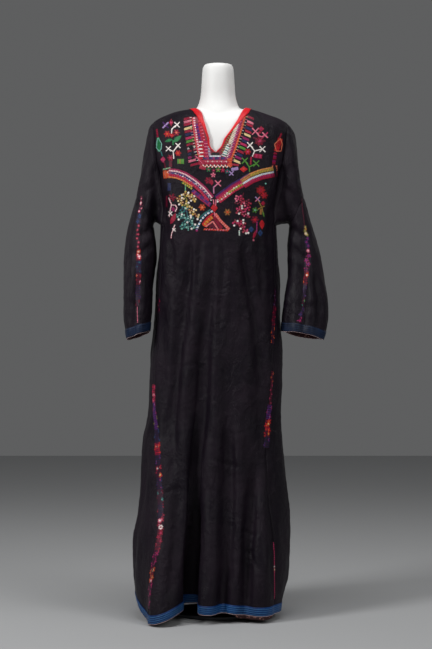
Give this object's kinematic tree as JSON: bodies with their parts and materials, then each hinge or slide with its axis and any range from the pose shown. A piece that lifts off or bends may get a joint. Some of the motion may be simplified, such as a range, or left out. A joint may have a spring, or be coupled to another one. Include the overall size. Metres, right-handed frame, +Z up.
{
  "type": "palestinian thobe dress on a limbless dress form",
  "caption": "Long black cotton thobe with embroidered chest, blue hem and cuff bands, standing filled out on a white limbless dress form with a pole and base.",
  "frame": {"origin": "on the floor, at the middle of the base plate's underside", "axes": "+Z up; the wearer faces -Y; the wearer's left is at +X"},
  "size_m": [0.57, 0.4237, 1.537],
  "materials": {
    "black_cotton": "black cotton sateen, soft sheen",
    "blue_ribbon": "woven mid blue band with thin pale lines",
    "printed_cotton": "dark red printed cotton",
    "red_binding": "bright red cotton binding",
    "embroidery": "silk embroidery in red, magenta, orange, white, green and navy",
    "white_form": "smooth matt white",
    "stand_steel": "brushed steel"
  },
  "bodies": {
    "root": {"front_panel": "black_cotton", "back_panel": "black_cotton", "gore_left": "black_cotton", "gore_right": "black_cotton", "upper_sleeve_left": "black_cotton", "upper_sleeve_right": "black_cotton", "sleeve_outer_left": "black_cotton", "sleeve_inner_left": "black_cotton", "sleeve_outer_right": "black_cotton", "sleeve_inner_right": "black_cotton", "cuff_band_left": "blue_ribbon", "cuff_band_right": "blue_ribbon", "hem_band": "blue_ribbon", "cuff_facing_left": "printed_cotton", "cuff_facing_right": "printed_cotton", "hem_facing": "printed_cotton", "neck_binding_left": "red_binding", "neck_binding_right": "red_binding", "neck_band": "embroidery", "form_torso": "white_form", "form_pole": "stand_steel", "form_base": "stand_steel"}
  },
  "joints": []
}
